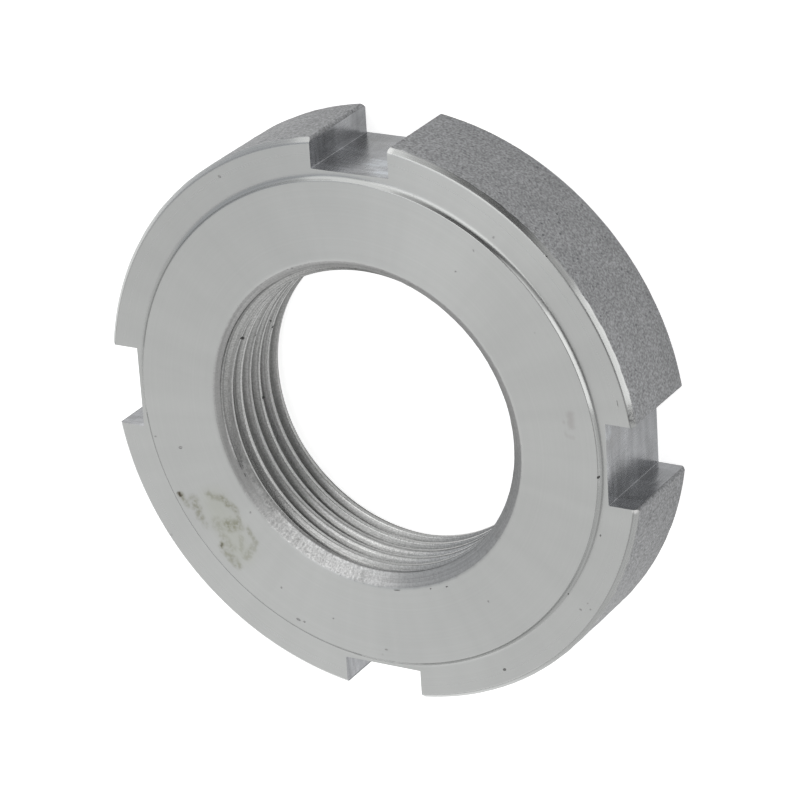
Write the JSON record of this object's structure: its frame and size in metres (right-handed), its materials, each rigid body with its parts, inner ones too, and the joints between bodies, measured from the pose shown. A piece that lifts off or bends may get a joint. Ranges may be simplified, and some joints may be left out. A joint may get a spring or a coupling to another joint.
{
  "type": "bearing lock nut",
  "caption": "Round slotted lock nut for a bearing seat: fine internal thread, raised bearing face and square notches in the rim for a hook spanner.",
  "frame": {"origin": "centre of the plain back face, on the thread axis", "axes": "+Z along the thread axis, out of the raised bearing face; two of the spanner slots lie on the X axis and two on the Y axis"},
  "size_m": [0.0494, 0.0494, 0.0097],
  "materials": {
    "machined_steel": "turned faces and milled slots, with a rough unmachined rim"
  },
  "bodies": {
    "root": {"lock_nut": "machined_steel"}
  },
  "joints": []
}
